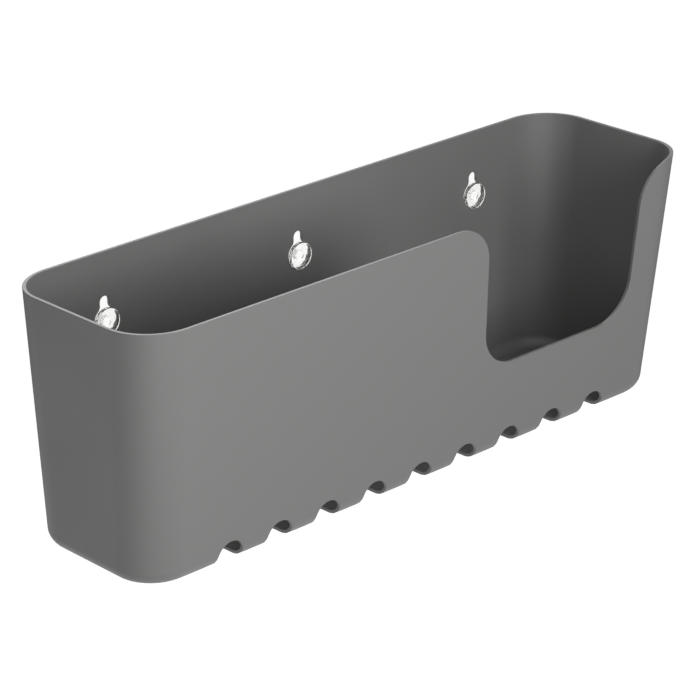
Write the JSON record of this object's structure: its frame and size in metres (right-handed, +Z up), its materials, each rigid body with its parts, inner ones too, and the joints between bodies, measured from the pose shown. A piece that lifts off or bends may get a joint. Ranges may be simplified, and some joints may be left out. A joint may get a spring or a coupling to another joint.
{
  "type": "wall-mounted bath basket",
  "caption": "Moulded plastic bath tray with a low front cut-out and drain slots, hung on a wall by clear suction cups that key into its back.",
  "frame": {"origin": "centre of the tub's flat underside, measured over its rim length and depth", "axes": "+X along the long side, to the right seen from the room; +Y into the wall; +Z up"},
  "size_m": [0.4412, 0.1409, 0.1622],
  "materials": {
    "grey_plastic": "fine satin texture as moulded",
    "clear_pvc": "clear and glossy, soft"
  },
  "bodies": {
    "tub": {"basket": "grey_plastic"},
    "cup_left": {"suction_cup_left": "clear_pvc"},
    "cup_middle": {"suction_cup_middle": "clear_pvc"},
    "cup_right": {"suction_cup_right": "clear_pvc"}
  },
  "joints": [
    {"name": "keyhole_slide_left", "type": "slide", "parent": "tub", "child": "cup_left", "axis": [0, 0, 1], "range_m": [0, 0.0121]},
    {"name": "keyhole_slide_middle", "type": "slide", "parent": "tub", "child": "cup_middle", "axis": [0, 0, 1], "range_m": [0, 0.0121]},
    {"name": "keyhole_slide_right", "type": "slide", "parent": "tub", "child": "cup_right", "axis": [0, 0, 1], "range_m": [0, 0.0121]}
  ]
}
